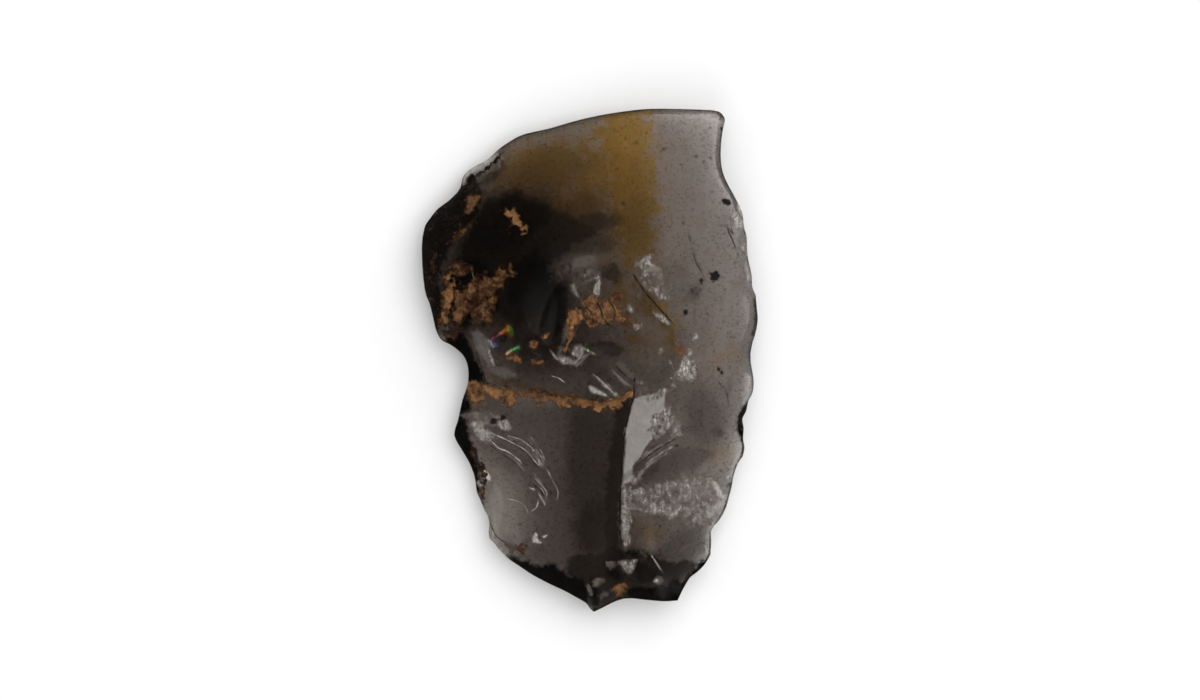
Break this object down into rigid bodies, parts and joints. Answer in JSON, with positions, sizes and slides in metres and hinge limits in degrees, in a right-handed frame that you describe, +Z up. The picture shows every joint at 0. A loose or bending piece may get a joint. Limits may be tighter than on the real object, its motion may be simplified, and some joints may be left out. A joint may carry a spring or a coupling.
{
  "type": "obsidian flake",
  "caption": "Thin struck flake of smoky volcanic glass, smooth bowed underside, upper face of hollow flake scars with sharp ridges and a thick dark core.",
  "frame": {"origin": "middle of the flake's box in plan, on the surface that its smooth inner face lies on", "axes": "+Y along the flake's length, from the struck end towards the far edge; +X across it to the thin right side; +Z up, out of the scarred upper face"},
  "size_m": [0.0166, 0.025, 0.005],
  "materials": {
    "obsidian": "glossy smoky glass"
  },
  "bodies": {
    "root": {"flake": "obsidian"}
  },
  "joints": []
}
